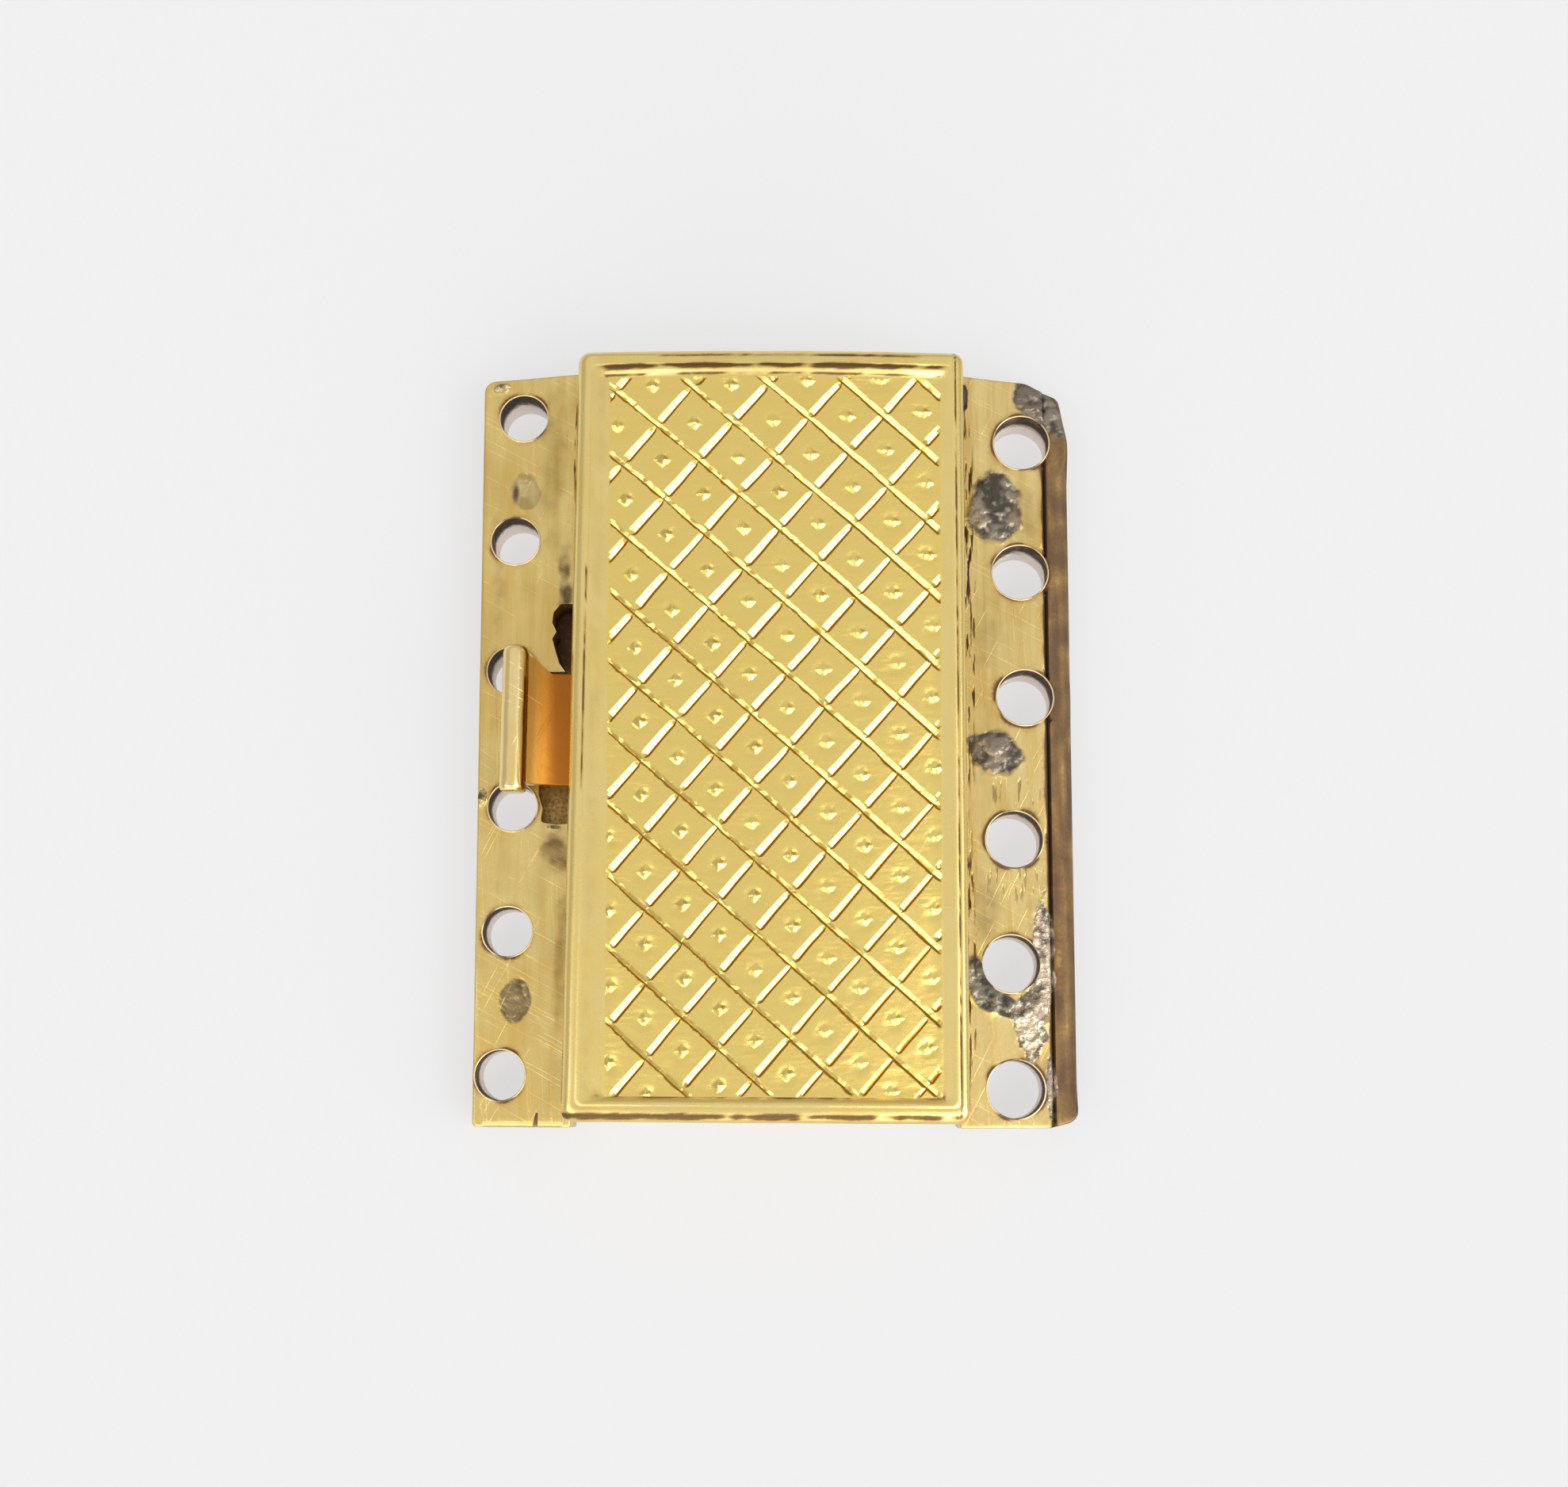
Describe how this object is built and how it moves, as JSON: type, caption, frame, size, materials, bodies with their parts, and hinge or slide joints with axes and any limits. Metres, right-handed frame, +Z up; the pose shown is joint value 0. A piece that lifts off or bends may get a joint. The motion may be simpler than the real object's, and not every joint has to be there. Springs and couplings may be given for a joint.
{
  "type": "box clasp",
  "caption": "Fastened box clasp for several strands: an engraved domed case with an end bar, and a tongue whose sprung latch is freed by a thumb tab.",
  "frame": {"origin": "on the resting plane, under the middle of the case", "axes": "+X along the strands' pull, from the tongue's bar to the end bar; +Y along the rows of holes, towards the far end in the picture; +Z up from the resting plane"},
  "size_m": [0.0193, 0.0247, 0.0045],
  "materials": {
    "case_gold": "worn polished yellow gold",
    "panel_gold": "satin yellow gold with bright cuts",
    "end_bar_gold": "worn yellow gold with grey solder and brown tarnish",
    "tongue_gold": "worn satin yellow gold",
    "leaf_gold": "plain satin yellow gold",
    "latch_gold": "polished yellow gold"
  },
  "bodies": {
    "case": {"case": "case_gold", "engraved_panel": "panel_gold", "end_bar": "end_bar_gold"},
    "tongue": {"tongue_bar": "tongue_gold", "tongue_leaf": "leaf_gold"},
    "latch": {"latch_spring": "latch_gold"}
  },
  "joints": [
    {"name": "tongue_slide", "type": "slide", "parent": "case", "child": "tongue", "axis": [-1, 0, 0], "range_m": [0, 0.012]},
    {"name": "latch_hinge", "type": "hinge", "parent": "tongue", "child": "latch", "pos_m": [0.0042, 0, 0.001], "axis": [0, -1, 0], "range_deg": [0, 2], "stiffness_Nm_per_rad": 0.6}
  ]
}
